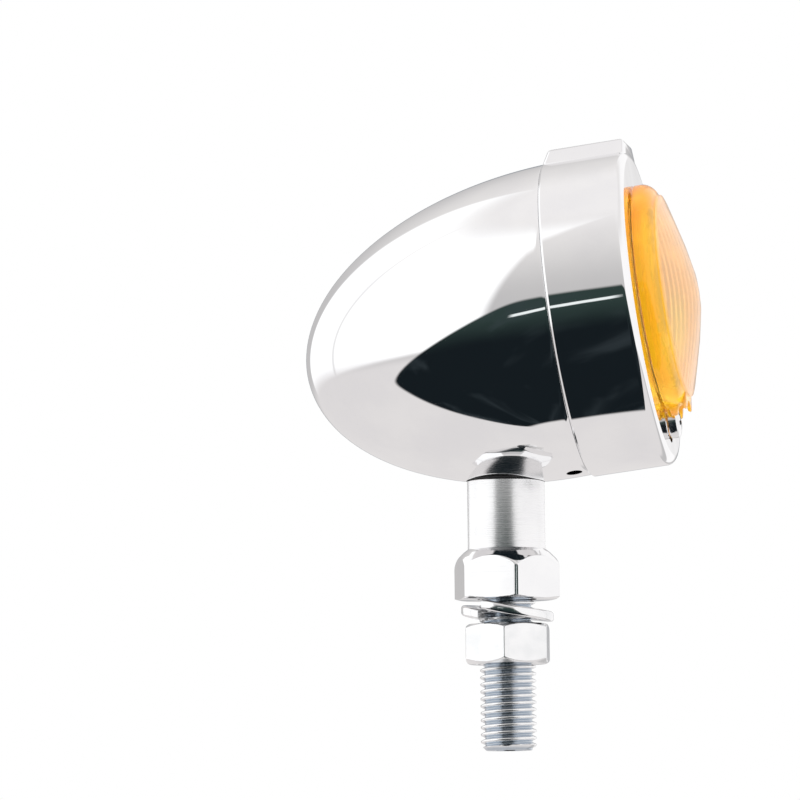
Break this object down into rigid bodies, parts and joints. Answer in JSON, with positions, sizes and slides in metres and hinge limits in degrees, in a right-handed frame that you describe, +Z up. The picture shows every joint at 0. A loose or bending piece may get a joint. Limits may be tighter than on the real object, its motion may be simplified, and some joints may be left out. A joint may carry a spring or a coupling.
{
  "type": "turn signal indicator",
  "caption": "Bullet-shaped chrome motorcycle turn signal with an amber lens, on a hollow threaded stem with a hexagon collar, split washer and nut.",
  "frame": {"origin": "centre of the hexagon collar's seating face, on the stem's axis", "axes": "+Z up the stem towards the head, +X towards the lens, +Y to the left of someone looking out through the lens"},
  "size_m": [0.07, 0.056, 0.1066],
  "materials": {
    "chrome": "polished chrome plate",
    "amber_lens": "clear amber acrylic, ribbed inside",
    "black_rubber": "moulded black rubber",
    "pale_seal": "pale silicone seal",
    "zinc_plate": "bright zinc-plated steel",
    "bright_reflector": "bright vacuum-plated bowl",
    "brass": "plain brass",
    "black_plastic": "moulded black insulator",
    "steel_wire": "drawn steel wire",
    "bulb_glass": "clear glass"
  },
  "bodies": {
    "stem": {"stem_sleeve": "chrome", "hollow_stud": "zinc_plate", "stud_washer": "zinc_plate", "wire_grommet": "black_rubber"},
    "head": {"rear_shell": "chrome", "front_bezel": "chrome", "signal_lens": "amber_lens", "lens_gasket": "pale_seal", "lens_screw": "zinc_plate", "reflector": "bright_reflector", "reflector_screw_1": "zinc_plate", "reflector_screw_2": "zinc_plate", "reflector_screw_3": "zinc_plate", "shell_screw_1": "zinc_plate", "shell_screw_2": "zinc_plate", "socket_shell": "zinc_plate", "socket_rivet_1": "brass", "socket_rivet_2": "brass", "earth_tab": "brass", "contact_spring": "steel_wire", "stem_gasket": "black_rubber"},
    "plunger": {"contact_pin": "brass", "socket_insulator": "black_plastic", "feed_terminal": "brass"},
    "bulb": {"bulb_base": "brass", "bulb_pin_1": "brass", "bulb_pin_2": "brass", "bulb_insulator": "black_plastic", "bulb_tip": "steel_wire", "bulb_glass": "bulb_glass", "bulb_stem": "bulb_glass", "filament_support_1": "steel_wire", "filament_support_2": "steel_wire", "filament": "steel_wire"},
    "washer": {"lock_washer": "zinc_plate"},
    "nut": {"mounting_nut": "zinc_plate"}
  },
  "joints": [
    {"name": "head_swivel", "type": "hinge", "parent": "stem", "child": "head", "pos_m": [0, 0, 0.0213], "axis": [0, 0, 1], "range_deg": [-170, 170]},
    {"name": "bulb_push", "type": "slide", "parent": "head", "child": "plunger", "axis": [-0.9919, 0, -0.1271], "range_m": [0, 0.002], "stiffness_N_per_m": 2500, "springref_m": -0.001, "deforming": ["contact_spring"]},
    {"name": "bulb_twist", "type": "hinge", "parent": "plunger", "child": "bulb", "pos_m": [0.01144, 0, 0.05034], "axis": [0.9919, 0, 0.1271], "range_deg": [0, 20]},
    {"name": "washer_travel", "type": "slide", "parent": "stem", "child": "washer", "axis": [0, 0, 1], "range_m": [-0.0125, 0]},
    {"name": "nut_turn", "type": "hinge", "parent": "washer", "child": "nut", "pos_m": [0, 0, 0], "axis": [0, 0, 1], "range_deg": [-3601, 0]}
  ],
  "couplings": [
    {"joint": "nut_turn", "follows": "washer_travel", "rad_per_m": 5026.5}
  ]
}
